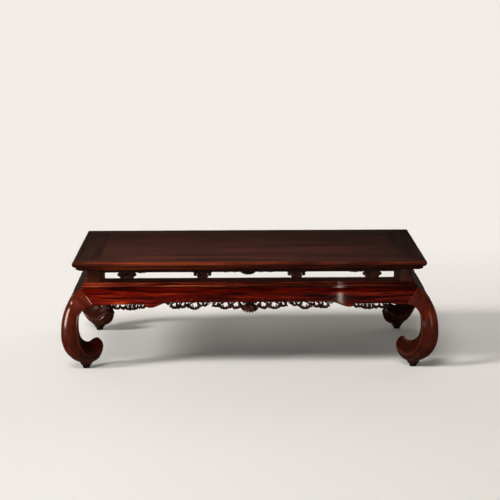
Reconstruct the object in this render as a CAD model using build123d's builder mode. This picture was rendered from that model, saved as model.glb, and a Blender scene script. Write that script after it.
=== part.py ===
"""Kang table: a low table with a pierced waist, bulging aprons and legs that end in curled feet.

Millimetres, +Z up. The origin is on the floor under the middle of the top. +X runs along the
length and -Y is the front. "Inset" always means level distance inwards from the edge of the top.
"""
import os
from math import asin, cos, degrees, radians, sin, sqrt

from build123d import *

os.makedirs("parts", exist_ok=True)

# ---- Plan of the top ----
top_length = 1200.0
top_depth = 760.0

# ---- Heights, one above the other from the floor ----
pad_height = 16.0
leg_height = 230.0  # floor to the lower edge of the aprons
apron_height = 46.0
moulding_height = 18.0
lower_rail_height = 12.0
opening_height = 22.0
upper_rail_height = 10.0
top_thickness = 32.0

# ---- Frame and panel of the top ----
rail_width = 88.0
panel_thickness = 16.0
panel_seam = 0.3  # dark line between the panel and its frame
panel_tongue = 9.0
panel_tongue_thickness = 7.0
panel_tongue_drop = 7.0  # top face down to the tongue
tongue_play = 0.5
board_tongue = 6.0  # between the two boards of the panel
mitre_tenon_inset = 20.0
mitre_tenon_width = 30.0
mitre_tenon_thickness = 10.0
mitre_tenon_drop = 10.0  # top face down to the tenon
mitre_tenon_cover = 14.0  # wood left outside the tenon's end

# Moulded edge of the top, from the top face down
edge_arris = 3.0
edge_widest_drop = 7.0
edge_round_drop = 19.0
edge_round_inset = 9.0
edge_quirk_inset = 13.0
edge_quirk_height = 2.0
edge_bead_height = 5.0
edge_bead_inset = 11.5
edge_foot_inset = 24.0

# ---- Battens under the panel ----
batten_count = 3
batten_pitch = 300.0
batten_width = 42.0
batten_neck = 24.0
batten_flare = 30.0
batten_dovetail = 6.0
batten_tenon = 12.0
batten_tenon_width = 26.0
batten_tenon_thickness = 8.0
batten_lift = 1.0  # batten stays this far above the foot of the rails

# ---- Waist ----
waist_inset = 46.0
waist_thickness = 16.0
post_width = 44.0
rail_tongue = 4.0
rail_tongue_thickness = 6.0
rail_tenon = 8.0
rail_tenon_height = 6.0
corner_strut_width = 22.0
corner_strut_cove = 4.0
strut_thickness = 13.0
strut_setback = 1.5
strut_tenon = 4.0
strut_tenon_width = 14.0
strut_tenon_thickness = 5.0
outer_strut_from_post = 92.5
outer_strut_body = 50.0
outer_strut_span = 66.0
inner_strut_spacing = 320.0  # centre to centre on the long sides
inner_strut_body = 37.0
inner_strut_span = 62.0
strut_ear_radius = 6.5
strut_ear_height = 13.0  # foot of the opening up to the middle of an ear

# ---- Moulding between waist and apron: two beads, the lower one standing further out ----
lower_bead_inset = 28.5
upper_bead_inset = 34.5
bead_height = 8.0
bead_depth = 3.8
moulding_back_inset = 66.0

# ---- Aprons and the shoulders of the legs ----
shoulder_inset = 28.0
drum_reach = 39.0  # how far the knees stand out past the edge of the top
drum_level = 137.0
drum_rise = 150.0  # upright half axis of the bulge
apron_thickness = 24.0  # measured level
mitre_foot_inset = 66.0
apron_tongue = 5.0
apron_tongue_thickness = 6.0
apron_tongue_inset = 38.0
key_inset = 76.0  # dovetail keys that hang the aprons on the legs
key_neck = 8.0
key_flare = 13.0
key_near = 30.0
key_far = 60.0
key_height = 12.0
key_drop = 2.0

# ---- Ornament below the aprons: a rosette and pierced scrolls ----
fret_rise = 4.0  # the edge is cut this much higher behind the ornament
fret_from_mitre = 24.0
fret_ramp = 12.0
rosette_drop = 13.0
rosette_half_width = 23.0
rosette_half_height = 15.0
petal_radius = 4.5
petal_count = 9
petal_arc = 170.0
scroll_bar = 3.6
ornament_depth = 34.0
side_scroll_centre = 208.0
leg_scroll_from_mitre = 126.0
swell_from_mitre = 197.0
swell_inner = 62.0
swell_outer = 22.0
swell_drop = 12.0
# Scrolls: (along the apron, drop of the centre, half width, half height)
centre_scrolls = [
    (29.0, 6.0, 9.0, 9.0),
    (50.0, 13.0, 15.0, 14.0),
    (90.0, 11.0, 23.0, 12.0),
    (120.0, 7.0, 9.0, 9.0),
]
side_scrolls = [
    (-56.0, 5.0, 9.0, 8.0),
    (-36.0, 6.0, 11.0, 9.0),
    (-8.0, 9.0, 20.0, 12.0),
    (38.0, 9.0, 22.0, 12.0),
]
leg_scrolls = [
    (-30.0, 6.0, 12.0, 9.0),
    (0.0, 8.0, 21.0, 11.0),
    (32.0, 6.0, 12.0, 9.0),
    (56.0, 6.0, 13.0, 9.0),
]

# ---- Legs ----
leg_inner_inset = 18.0  # inner face at the drum level
arris_radius = 20.0
arris_tolerance = 0.5  # how far off the diagonal its edges may lie
arris_share = 0.45  # rounding of the outer corner in the foot, as a share of its half width
post_tenon_start = 64.0
post_tenon_width = 18.0
post_tenon_inset = 54.0
post_tenon_thickness = 8.0
post_tenon_length = 18.0
post_bevel = 16.0  # from the foot of the aprons up to the inner face of the post
# Inner line of the leg from the apron down to the drum: (inset, height)
inner_line = [(42.0, 222.5), (22.0, 197.0), (17.0, 165.0)]
inner_line_slopes = [(-1.0, -0.12), (0.05, -1.0)]  # at its upper and lower end
# The curled foot below the drum, as sections in the diagonal plane of the leg:
# (outer inset, outer height, inner inset, inner height, half width, way from outer to ridge)
foot_sections = [
    (-38.0, 112.0, 22.0, 117.0, 41.5, 0.48),
    (-33.0, 88.0, 29.0, 103.0, 42.0, 0.45),
    (-23.0, 63.0, 37.0, 95.0, 42.0, 0.41),
    (-8.0, 41.0, 46.0, 90.5, 41.0, 0.38),
    (12.0, 21.0, 53.5, 92.0, 40.0, 0.37),
    (40.0, 10.0, 62.0, 97.0, 36.0, 0.38),
    (62.0, 13.5, 70.0, 98.5, 32.0, 0.40),
    (76.5, 26.0, 78.0, 96.0, 27.0, 0.42),
    (85.5, 42.0, 84.5, 91.0, 20.0, 0.45),
    (89.0, 57.0, 88.5, 82.0, 12.0, 0.50),
]

# ---- Pads under the feet ----
pad_inset = 41.0
pad_foot_radius = 11.0
pad_waist_radius = 12.5
pad_rim_radius = 19.0
pad_rim_height = 4.0
seat_flare_radius = 28.0  # the foot widens from the pad's rim to this
seat_flare_height = 10.0
pad_spigot_radius = 7.0
pad_spigot = 18.0

# ---- Levels and lines worked out from the sizes ----
apron_foot = leg_height
fret_top = apron_foot + fret_rise
apron_top = apron_foot + apron_height
moulding_top = apron_top + moulding_height
opening_foot = moulding_top + lower_rail_height
opening_middle = opening_foot + opening_height / 2
opening_top = opening_foot + opening_height
top_foot = opening_top + upper_rail_height
top_face = top_foot + top_thickness
panel_foot = top_face - panel_thickness
tongue_top = top_face - panel_tongue_drop
tongue_foot = tongue_top - panel_tongue_thickness
half_length = top_length / 2
half_depth = top_depth / 2
post_inner = waist_inset + post_width
rail_tongue_inset = waist_inset + (waist_thickness - rail_tongue_thickness) / 2

# The bulge is part of an ellipse that stands on the drum level and reaches the shoulder
shoulder_rise = (apron_top - drum_level) / drum_rise
drum_depth = (drum_reach + shoulder_inset) / (1 - sqrt(1 - shoulder_rise**2))

# Each side: its length between the edges of the top, its distance from the middle, its turn
sides = {
    "front": (top_length, half_depth, 0),
    "right": (top_depth, half_length, 90),
    "back": (top_length, half_depth, 180),
    "left": (top_depth, half_length, 270),
}


def keep(piece, label):
    """Name a finished piece and write it out."""
    piece.label = label
    export_step(piece, f"parts/{label}.step")
    return piece


def turned(piece, side):
    """A piece made for the front, turned to its own side of the table."""
    return piece.rotate(Axis.Z, sides[side][2])


def drum_line(edge, foot, top):
    """The bulging outer line of leg and apron between two heights."""
    foot_angle = 180 - degrees(asin((foot - drum_level) / drum_rise))
    top_angle = 180 - degrees(asin((top - drum_level) / drum_rise))
    centre = (edge - drum_reach + drum_depth, drum_level)
    arc = foot_angle - top_angle
    return EllipticalCenterArc(centre, drum_depth, drum_rise, start_angle=top_angle, arc_size=arc)


def mitred_plan(span, reach, depth):
    """Plan of a piece that is cut at 45 degrees at both ends."""
    return Polyline(
        (-span / 2, -reach),
        (span / 2, -reach),
        (span / 2 - depth, -reach + depth),
        (-span / 2 + depth, -reach + depth),
        close=True,
    )


# ---- Top frame: four mitred rails, moulded outside and grooved for the panel ----
def rail_section(reach):
    """Outline across a rail: top face, moulded edge, foot with a groove, inner edge with a groove."""
    edge = -reach
    inner = edge + rail_width
    widest = top_face - edge_widest_drop
    round_foot = top_face - edge_round_drop
    bead_top = round_foot - edge_quirk_height
    bead_foot = bead_top - edge_bead_height
    quirk = edge + edge_quirk_inset
    groove_back = inner - panel_tongue - tongue_play
    slot_near = edge + rail_tongue_inset
    slot_far = slot_near + rail_tongue_thickness
    Line((inner, top_face), (edge + edge_arris, top_face))
    TangentArc((edge, widest), (edge + edge_arris, top_face), tangent=(0, 1))
    TangentArc((edge, widest), (edge + edge_round_inset, round_foot), tangent=(0, -1))
    Polyline((edge + edge_round_inset, round_foot), (quirk, round_foot), (quirk, bead_top))
    bead_face = (edge + edge_bead_inset, (bead_top + bead_foot) / 2)
    ThreePointArc((quirk, bead_top), bead_face, (quirk, bead_foot))
    Polyline(
        (quirk, bead_foot),
        (edge + edge_foot_inset, top_foot),
        (slot_near, top_foot),
        (slot_near, top_foot + rail_tongue),
        (slot_far, top_foot + rail_tongue),
        (slot_far, top_foot),
        (inner, top_foot),
        (inner, tongue_foot),
        (groove_back, tongue_foot),
        (groove_back, tongue_top),
        (inner, tongue_top),
        (inner, top_face),
    )


# Tenons of the long rails, through the mitre into the end rails
mitre_tenon_far = mitre_tenon_inset + mitre_tenon_width
mitre_tenon_length = mitre_tenon_far - mitre_tenon_cover
mitre_tenon_x = half_length - (mitre_tenon_cover + mitre_tenon_far) / 2
mitre_tenon_y = half_depth - mitre_tenon_inset - mitre_tenon_width / 2
mitre_tenon_z = top_face - mitre_tenon_drop - mitre_tenon_thickness / 2

# Tenons on the leg posts, one into each of the two rails that meet at a corner
post_tenon_z = top_foot + post_tenon_length / 2
post_tenon_along = post_tenon_start + post_tenon_width / 2
post_tenon_across = post_tenon_inset + post_tenon_thickness / 2

# Battens, evenly spaced along the length
batten_places = [(i - (batten_count - 1) / 2) * batten_pitch for i in range(batten_count)]
batten_foot = top_foot + batten_lift
batten_half = half_depth - rail_width
batten_tenon_z = (batten_foot + panel_foot) / 2


def top_rail(side):
    """One rail of the frame, with its grooves, mortises and the long rails' tenons."""
    span, reach, _ = sides[side]
    long_rail = side in ("front", "back")
    with BuildPart() as rail:
        with BuildSketch(Plane.YZ):
            with BuildLine():
                rail_section(reach)
            make_face()
        extrude(amount=span / 2, both=True)
        with BuildSketch(Plane.XY.offset(top_foot)):
            with BuildLine():
                mitred_plan(span, reach, rail_width)
            make_face()
        extrude(amount=top_thickness, mode=Mode.INTERSECT)
        tenon_mode = Mode.ADD if long_rail else Mode.SUBTRACT
        if long_rail:
            tenon_size = (mitre_tenon_length, mitre_tenon_width, mitre_tenon_thickness)
            tenon_places = [(sx * mitre_tenon_x, -mitre_tenon_y, mitre_tenon_z) for sx in (-1, 1)]
        else:
            tenon_size = (mitre_tenon_width, mitre_tenon_length, mitre_tenon_thickness)
            tenon_places = [(sx * mitre_tenon_y, -mitre_tenon_x, mitre_tenon_z) for sx in (-1, 1)]
        with Locations(*tenon_places):
            Box(*tenon_size, mode=tenon_mode)
        post_x = span / 2 - post_tenon_along
        with Locations(*[(sx * post_x, -reach + post_tenon_across, post_tenon_z) for sx in (-1, 1)]):
            Box(post_tenon_width, post_tenon_thickness, post_tenon_length, mode=Mode.SUBTRACT)
        if long_rail:
            socket_y = -reach + rail_width - batten_tenon / 2
            with Locations(*[(x, socket_y, batten_tenon_z) for x in batten_places]):
                Box(batten_tenon_width, batten_tenon, batten_tenon_thickness, mode=Mode.SUBTRACT)
    return turned(rail.part, side)


for side in sides:
    keep(top_rail(side), f"top_rail_{side}")


# ---- Panel: two boards with a tongue all round, slotted for the battens ----
def dovetail_outline(place):
    """Section of the batten's ridge, narrow at the foot of the panel."""
    return Polyline(
        (place - batten_neck / 2, panel_foot),
        (place + batten_neck / 2, panel_foot),
        (place + batten_flare / 2, panel_foot + batten_dovetail),
        (place - batten_flare / 2, panel_foot + batten_dovetail),
        close=True,
    )


panel_half_length = half_length - rail_width - panel_seam
panel_half_depth = half_depth - rail_width - panel_seam
tongue_half_length = half_length - rail_width + panel_tongue
tongue_half_depth = half_depth - rail_width + panel_tongue
panel_middle = panel_foot + panel_thickness / 2
tongue_middle = tongue_foot + panel_tongue_thickness / 2


def panel_board(back):
    """Half of the panel; the front board carries the tongue of the joint between them."""
    way = 1 if back else -1
    with BuildPart() as board:
        with Locations((0, way * panel_half_depth / 2, panel_middle)):
            Box(2 * panel_half_length, panel_half_depth, panel_thickness)
        with Locations((0, way * tongue_half_depth / 2, tongue_middle)):
            Box(2 * tongue_half_length, tongue_half_depth, panel_tongue_thickness)
        with Locations((0, board_tongue / 2, tongue_middle)):
            joint_mode = Mode.SUBTRACT if back else Mode.ADD
            Box(2 * tongue_half_length, board_tongue, panel_tongue_thickness, mode=joint_mode)
        with BuildSketch(Plane.XZ):
            for place in batten_places:
                with BuildLine():
                    dovetail_outline(place)
                make_face()
        extrude(amount=batten_half, both=True, mode=Mode.SUBTRACT)
    return board.part


keep(panel_board(back=False), "panel_board_front")
keep(panel_board(back=True), "panel_board_back")


def batten(place):
    """A dovetailed batten, tenoned into both long rails."""
    with BuildPart() as bar:
        with Locations((place, 0, (batten_foot + panel_foot) / 2)):
            Box(batten_width, 2 * batten_half, panel_foot - batten_foot)
        with BuildSketch(Plane.XZ):
            with BuildLine():
                dovetail_outline(place)
            make_face()
        extrude(amount=batten_half, both=True)
        tenon_y = batten_half + batten_tenon / 2
        with Locations((place, -tenon_y, batten_tenon_z), (place, tenon_y, batten_tenon_z)):
            Box(batten_tenon_width, batten_tenon, batten_tenon_thickness)
    return bar.part


for number, place in enumerate(batten_places, 1):
    keep(batten(place), f"batten_{number}")


# ---- Waist: upper and lower rails with carved struts between them ----
def strut_places(side):
    """Centres of the free-standing struts on one side, with their body and span widths."""
    span = sides[side][0]
    outer = span / 2 - post_inner - outer_strut_from_post
    inner = [-inner_strut_spacing / 2, inner_strut_spacing / 2] if span == top_length else [0.0]
    places = [(-outer, outer_strut_body, outer_strut_span)]
    places += [(x, inner_strut_body, inner_strut_span) for x in inner]
    places += [(outer, outer_strut_body, outer_strut_span)]
    return places


def corner_places(side):
    """Centres of the two struts that stand against the leg posts."""
    reach = sides[side][0] / 2 - post_inner - corner_strut_width / 2
    return [-reach, reach]


def strut_tenon_spots(side):
    """Where every strut's tenons enter the rails."""
    return [place[0] for place in strut_places(side)] + corner_places(side)


def waist_rail(side, foot, height, tongue_middle_z):
    """A rail of the waist, tongued to its neighbour and tenoned into the posts."""
    span, reach, _ = sides[side]
    length = span - 2 * post_inner
    y = -reach + waist_inset + waist_thickness / 2
    strut_y = -reach + waist_inset + strut_setback + strut_thickness / 2
    with BuildPart() as rail:
        with Locations((0, y, foot + height / 2)):
            Box(length, waist_thickness, height)
            Box(length + 2 * rail_tenon, rail_tongue_thickness, rail_tenon_height)
        with Locations((0, y, tongue_middle_z)):
            Box(length, rail_tongue_thickness, rail_tongue)
        with Locations(*[(x, strut_y, opening_middle) for x in strut_tenon_spots(side)]):
            mortise_reach = opening_height + 2 * strut_tenon
            Box(strut_tenon_width, strut_tenon_thickness, mortise_reach, mode=Mode.SUBTRACT)
    return turned(rail.part, side)


def strut_plane(side):
    """Upright plane of the struts' faces."""
    return Plane.XZ.offset(sides[side][1] - waist_inset - strut_setback)


def eared_outline(side, place, body, span):
    """A body with a round ear on each side, in its upper part."""
    ear = span / 2 - strut_ear_radius
    ear_z = opening_foot + strut_ear_height
    with BuildSketch(strut_plane(side)) as outline:
        with Locations((place, opening_middle)):
            Rectangle(body, opening_height)
        with Locations((place - ear, ear_z), (place + ear, ear_z)):
            Circle(strut_ear_radius)
    return outline.sketch


def corner_outline(side, place):
    """A plain block whose free side is coved into the rails at head and foot."""
    way = -1 if place > 0 else 1
    free = place + way * corner_strut_width / 2
    with BuildSketch(strut_plane(side)) as outline:
        with Locations((place, opening_middle)):
            Rectangle(corner_strut_width, opening_height)
        with Locations((free, opening_middle)):
            SlotOverall(opening_height, 2 * corner_strut_cove, rotation=90, mode=Mode.SUBTRACT)
    return outline.sketch


def strut(side, outline, place):
    """A strut between the rails: a flat shape with a tenon at each end."""
    middle_y = -sides[side][1] + waist_inset + strut_setback + strut_thickness / 2
    with BuildPart() as piece:
        extrude(outline, amount=-strut_thickness)
        with Locations((place, middle_y, opening_middle)):
            Box(strut_tenon_width, strut_tenon_thickness, opening_height + 2 * strut_tenon)
    return turned(piece.part, side)


upper_tongue_z = top_foot + rail_tongue / 2
lower_tongue_z = moulding_top - rail_tongue / 2
waist_rails = {}
for side in sides:
    upper = waist_rail(side, opening_top, upper_rail_height, upper_tongue_z)
    lower = waist_rail(side, moulding_top, lower_rail_height, lower_tongue_z)
    waist_rails[side] = [upper, lower]
    keep(upper, f"waist_rail_upper_{side}")
    keep(lower, f"waist_rail_lower_{side}")
    for number, (place, body, span) in enumerate(strut_places(side), 1):
        carved = strut(side, eared_outline(side, place, body, span), place)
        keep(carved, f"waist_strut_{side}_{number}")
    for number, place in enumerate(corner_places(side), 1):
        plain = strut(side, corner_outline(side, place), place)
        keep(plain, f"corner_strut_{side}_{number}")


# ---- Moulding: two beads under the waist, mitred at the corners and notched round the posts ----
def bead(edge, inset, foot):
    """Half-round line of one bead, standing on its foot."""
    return ThreePointArc(
        (edge + inset + bead_depth, foot),
        (edge + inset, foot + bead_height / 2),
        (edge + inset + bead_depth, foot + bead_height),
    )


def moulding_section(reach):
    """Outline across the moulding: two beads in front, tongue grooves above and below."""
    edge = -reach
    bead_foot = moulding_top - 2 * bead_height
    quirk = edge + lower_bead_inset + bead_depth
    shelf = edge + upper_bead_inset + bead_depth
    back = edge + moulding_back_inset
    slot_near = edge + rail_tongue_inset
    slot_far = slot_near + rail_tongue_thickness
    groove_near = edge + apron_tongue_inset
    groove_far = groove_near + apron_tongue_thickness
    Line((quirk, apron_top), (quirk, bead_foot))
    bead(edge, lower_bead_inset, bead_foot)
    Line((quirk, bead_foot + bead_height), (shelf, bead_foot + bead_height))
    bead(edge, upper_bead_inset, bead_foot + bead_height)
    Polyline(
        (shelf, moulding_top),
        (slot_near, moulding_top),
        (slot_near, moulding_top - rail_tongue),
        (slot_far, moulding_top - rail_tongue),
        (slot_far, moulding_top),
        (back, moulding_top),
        (back, apron_top),
        (groove_far, apron_top),
        (groove_far, apron_top + apron_tongue),
        (groove_near, apron_top + apron_tongue),
        (groove_near, apron_top),
        (quirk, apron_top),
    )


def moulding(side):
    """One length of the moulding, cut to its mitres."""
    span, reach, _ = sides[side]
    post_x = span / 2 - waist_inset - post_width / 2
    post_y = -reach + waist_inset + post_width / 2
    post_z = (apron_top + moulding_top) / 2
    with BuildPart() as strip:
        with BuildSketch(Plane.YZ):
            with BuildLine():
                moulding_section(reach)
            make_face()
        extrude(amount=span / 2, both=True)
        with BuildSketch(Plane.XY.offset(apron_top)):
            with BuildLine():
                mitred_plan(span, reach, post_inner)
            make_face()
        extrude(amount=moulding_height, mode=Mode.INTERSECT)
        with Locations((-post_x, post_y, post_z), (post_x, post_y, post_z)):
            Box(post_width, post_width, moulding_height, mode=Mode.SUBTRACT)
    return turned(strip.part, side)


for side in sides:
    keep(moulding(side), f"waist_moulding_{side}")


# ---- Aprons: bulging boards, mitred to the legs, with an ornament along the lower edge ----
def scroll_places(side):
    """Every scroll of one apron, mirrored about its middle."""
    span = sides[side][0]
    leg_centre = span / 2 - mitre_foot_inset - leg_scroll_from_mitre
    places = [(x, drop, rx, ry) for x, drop, rx, ry in centre_scrolls]
    places += [(leg_centre + x, drop, rx, ry) for x, drop, rx, ry in leg_scrolls]
    if span == top_length:
        places += [(side_scroll_centre + x, drop, rx, ry) for x, drop, rx, ry in side_scrolls]
    return [(way * x, drop, rx, ry) for x, drop, rx, ry in places for way in (-1, 1)]


def petal_places():
    """Middles of the petals round the lower half of the rosette."""
    steps = [-90 + petal_arc * (i / (petal_count - 1) - 0.5) for i in range(petal_count)]
    middle_z = fret_top - rosette_drop
    half_width = rosette_half_width
    half_height = rosette_half_height
    return [(half_width * cos(radians(a)), middle_z + half_height * sin(radians(a))) for a in steps]


def swell_outline(way, centre):
    """A plain ogee swelling of the lower edge, steep on the side of the leg."""
    low = (way * centre, apron_foot - swell_drop)
    outer = (way * (centre + swell_outer), fret_top)
    inner = (way * (centre - swell_inner), fret_top)
    TangentArc(low, outer, tangent=(way, 0))
    Spline(low, inner, tangents=[(-way, 0), (-way, 0)])
    Line(inner, outer)


def apron_outline(side):
    """Front view of an apron: mitred ends, rosette, scrolls and swellings."""
    span = sides[side][0]
    scrolls = scroll_places(side)
    swell_centre = span / 2 - mitre_foot_inset - swell_from_mitre
    foot_x = span / 2 - mitre_foot_inset
    head_x = span / 2 - shoulder_inset
    with BuildSketch(Plane.XZ) as view:
        for x, drop, rx, ry in scrolls:
            with Locations((x, fret_top - drop)):
                Ellipse(rx, ry)
        for x, drop, rx, ry in scrolls:
            with Locations((x, fret_top - drop)):
                Ellipse(rx - scroll_bar, ry - scroll_bar, mode=Mode.SUBTRACT)
        with Locations((0, fret_top - rosette_drop)):
            Ellipse(rosette_half_width, rosette_half_height)
        with Locations(*petal_places()):
            Circle(petal_radius)
        if span == top_length:
            for way in (-1, 1):
                with BuildLine():
                    swell_outline(way, swell_centre)
                make_face()
        with BuildLine():
            Polyline(
                (foot_x, apron_foot),
                (head_x, apron_top),
                (-head_x, apron_top),
                (-foot_x, apron_foot),
                (-foot_x + fret_from_mitre, apron_foot),
                (-foot_x + fret_from_mitre + fret_ramp, fret_top),
                (foot_x - fret_from_mitre - fret_ramp, fret_top),
                (foot_x - fret_from_mitre, apron_foot),
                close=True,
            )
        make_face()
    return view.sketch


def key_plan(span, reach, way):
    """Plan of a dovetail key, widest inside the apron."""
    middle = way * (span / 2 - key_inset)
    return Polyline(
        (middle - key_flare / 2, -reach + key_near),
        (middle + key_flare / 2, -reach + key_near),
        (middle + key_neck / 2, -reach + key_far),
        (middle - key_neck / 2, -reach + key_far),
        close=True,
    )


def apron(side):
    """One apron, with the slots for its keys and the tongue for the moulding."""
    span, reach, _ = sides[side]
    foot = apron_foot - ornament_depth
    outside = drum_reach + apron_thickness
    front_view = apron_outline(side)
    with BuildPart() as board:
        with BuildSketch(Plane.YZ):
            with BuildLine():
                outer = drum_line(-reach, foot, apron_top)
                inner = drum_line(-reach + apron_thickness, foot, apron_top)
                Line(outer @ 0, inner @ 0)
                Line(outer @ 1, inner @ 1)
            make_face()
        extrude(amount=span / 2, both=True)
        extrude(front_view, amount=reach + outside, mode=Mode.INTERSECT)
        with BuildSketch(Plane.XY.offset(foot)):
            with BuildLine():
                mitred_plan(span + 2 * outside, reach + outside, outside + post_inner)
            make_face()
        extrude(amount=apron_top - foot, mode=Mode.INTERSECT)
        with BuildSketch(Plane.XY.offset(apron_top - key_drop - key_height)):
            for way in (-1, 1):
                with BuildLine():
                    key_plan(span, reach, way)
                make_face()
        extrude(amount=key_height, mode=Mode.SUBTRACT)
        tongue_y = -reach + apron_tongue_inset + apron_tongue_thickness / 2
        with Locations((0, tongue_y, apron_top + apron_tongue / 2)):
            Box(span - 2 * post_inner, apron_tongue_thickness, apron_tongue)
    return turned(board.part, side)


aprons = {}
for side in sides:
    aprons[side] = keep(apron(side), f"apron_{side}")


# ---- Legs: a square post, a bulging knee and a foot that curls in along the diagonal ----
corner_x = -half_length
corner_y = -half_depth
across = Vector(1, -1, 0).normalized()


def leg_view(edge):
    """One view of the leg above the drum level: post, shoulder and knee."""
    outer = drum_line(edge, drum_level, apron_top)
    mitre_foot = (edge + mitre_foot_inset, apron_foot)
    drum_inner = (edge + leg_inner_inset, drum_level)
    Polyline(
        outer @ 0,
        (edge + waist_inset, apron_top),
        (edge + waist_inset, top_foot),
        (edge + post_inner, top_foot),
        (edge + post_inner, apron_foot + post_bevel),
        mitre_foot,
    )
    line_points = [(edge + inset, height) for inset, height in inner_line]
    Spline(mitre_foot, *line_points, drum_inner, tangents=inner_line_slopes)
    Line(drum_inner, outer @ 1)


def diagonal_point(inset, height):
    """A point in the upright plane that runs through the corner at 45 degrees."""
    return Vector(corner_x + inset, corner_y + inset, height)


def foot_section(outer_inset, outer_height, inner_inset, inner_height, half_width, ridge, rounding):
    """A four-sided section across the diagonal, with its outer corner rounded."""
    outer = diagonal_point(outer_inset, outer_height)
    inner = diagonal_point(inner_inset, inner_height)
    half = (inner - outer).length / 2
    ridge_y = (2 * ridge - 1) * half
    plane = Plane(origin=(outer + inner) * 0.5, x_dir=across, z_dir=across.cross(inner - outer))
    with BuildSketch(plane) as section:
        with BuildLine():
            Polyline((0, -half), (half_width, ridge_y), (0, half), (-half_width, ridge_y), close=True)
        make_face()
        fillet(vertices().sort_by(Axis.Y)[0], rounding)
    return section.sketch


def is_outer_arris(edge):
    """Edges in the diagonal plane, on the outside of the knee."""
    middle = edge.center()
    on_diagonal = abs((middle.X - corner_x) - (middle.Y - corner_y)) < arris_tolerance
    return on_diagonal and middle.X < corner_x + shoulder_inset and middle.Z < apron_top


drum_half_width = (drum_reach + leg_inner_inset) / 2 * sqrt(2)
drum_section = (-drum_reach, drum_level, leg_inner_inset, drum_level, drum_half_width, 0.5)
foot_outlines = [foot_section(*drum_section, arris_radius)]
foot_outlines += [foot_section(*section, arris_share * section[4]) for section in foot_sections]

with BuildPart() as leg:
    with BuildSketch(Plane.XZ):
        with BuildLine():
            leg_view(corner_x)
        make_face()
    extrude(amount=top_depth, both=True)
    with BuildSketch(Plane.YZ):
        with BuildLine():
            leg_view(corner_y)
        make_face()
    extrude(amount=top_length, both=True, mode=Mode.INTERSECT)
    fillet([edge for edge in leg.edges() if is_outer_arris(edge)], arris_radius)
    loft(foot_outlines)
    split(bisect_by=Plane.XY.offset(pad_height), keep=Keep.TOP)
    with Locations((corner_x + pad_inset, corner_y + pad_inset, pad_height + seat_flare_height / 2)):
        Cone(pad_rim_radius, seat_flare_radius, seat_flare_height)
    with Locations((corner_x + pad_inset, corner_y + pad_inset, pad_height + pad_spigot / 2)):
        Cylinder(pad_spigot_radius, pad_spigot, mode=Mode.SUBTRACT)
    for side in ("front", "left"):
        add(aprons[side], mode=Mode.SUBTRACT)
        for rail in waist_rails[side]:
            add(rail, mode=Mode.SUBTRACT)
    tenon_spots = [
        (post_tenon_along, post_tenon_across, post_tenon_width, post_tenon_thickness),
        (post_tenon_across, post_tenon_along, post_tenon_thickness, post_tenon_width),
    ]
    for inset_x, inset_y, size_x, size_y in tenon_spots:
        with Locations((corner_x + inset_x, corner_y + inset_y, post_tenon_z)):
            Box(size_x, size_y, post_tenon_length)


# ---- Pads: turned blocks let into the feet ----
with BuildPart() as pad:
    with BuildSketch(Plane.XZ):
        with BuildLine():
            Polyline(
                (0, pad_height + pad_spigot),
                (0, 0),
                (pad_foot_radius, 0),
                (pad_waist_radius, pad_rim_height),
            )
            TangentArc(
                (pad_waist_radius, pad_rim_height),
                (pad_rim_radius, pad_height - pad_rim_height),
                tangent=(0, 1),
            )
            Polyline(
                (pad_rim_radius, pad_height - pad_rim_height),
                (pad_rim_radius, pad_height),
                (pad_spigot_radius, pad_height),
                (pad_spigot_radius, pad_height + pad_spigot),
                (0, pad_height + pad_spigot),
            )
        make_face()
    revolve(axis=Axis.Z)

pad_at_corner = pad.part.moved(Location((corner_x + pad_inset, corner_y + pad_inset, 0)))


def at_corner(piece, right, back):
    """The front left piece, mirrored to another corner."""
    if right:
        piece = piece.mirror(Plane.YZ)
    if back:
        piece = piece.mirror(Plane.XZ)
    return piece


for back, depth_name in ((False, "front"), (True, "back")):
    for right, side_name in ((False, "left"), (True, "right")):
        keep(at_corner(leg.part, right, back), f"leg_{depth_name}_{side_name}")
        keep(at_corner(pad_at_corner, right, back), f"foot_pad_{depth_name}_{side_name}")
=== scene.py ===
"""Kang table: carved pieces, finishes, floor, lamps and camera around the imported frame.

Metres, +Z up, origin on the floor under the middle of the top, front at -Y. "Inset" is always the
level distance inwards from the edge of the top.
"""
import math

import bmesh
import bpy
from mathutils import Matrix, Vector


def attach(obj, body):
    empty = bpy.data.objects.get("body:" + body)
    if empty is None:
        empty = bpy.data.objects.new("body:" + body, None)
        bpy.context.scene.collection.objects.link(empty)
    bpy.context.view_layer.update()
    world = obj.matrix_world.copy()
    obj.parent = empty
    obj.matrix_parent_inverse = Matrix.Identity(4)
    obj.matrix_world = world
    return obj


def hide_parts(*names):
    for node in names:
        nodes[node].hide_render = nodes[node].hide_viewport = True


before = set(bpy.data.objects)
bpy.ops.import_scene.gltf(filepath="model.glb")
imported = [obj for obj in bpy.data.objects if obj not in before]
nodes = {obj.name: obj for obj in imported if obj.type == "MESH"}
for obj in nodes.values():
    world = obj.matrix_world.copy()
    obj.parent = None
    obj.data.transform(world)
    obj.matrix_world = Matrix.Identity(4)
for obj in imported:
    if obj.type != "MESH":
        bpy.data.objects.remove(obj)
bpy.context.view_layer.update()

# ---- Sizes shared with the solids ----
TOP_LENGTH = 1.2
TOP_DEPTH = 0.76
APRON_FOOT = 0.230
FRET_TOP = 0.234
APRON_TOP = 0.276
OPENING_FOOT = 0.306
OPENING_TOP = 0.328
TOP_FOOT = 0.338
POST_WIDTH = 0.044
WAIST_INSET = 0.046
SHOULDER_INSET = 0.028
MITRE_FOOT_INSET = 0.066
DRUM_REACH = 0.039
DRUM_LEVEL = 0.137
DRUM_RISE = 0.150
APRON_THICKNESS = 0.024
PAD_INSET = 0.041
PAD_HEIGHT = 0.016
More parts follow.
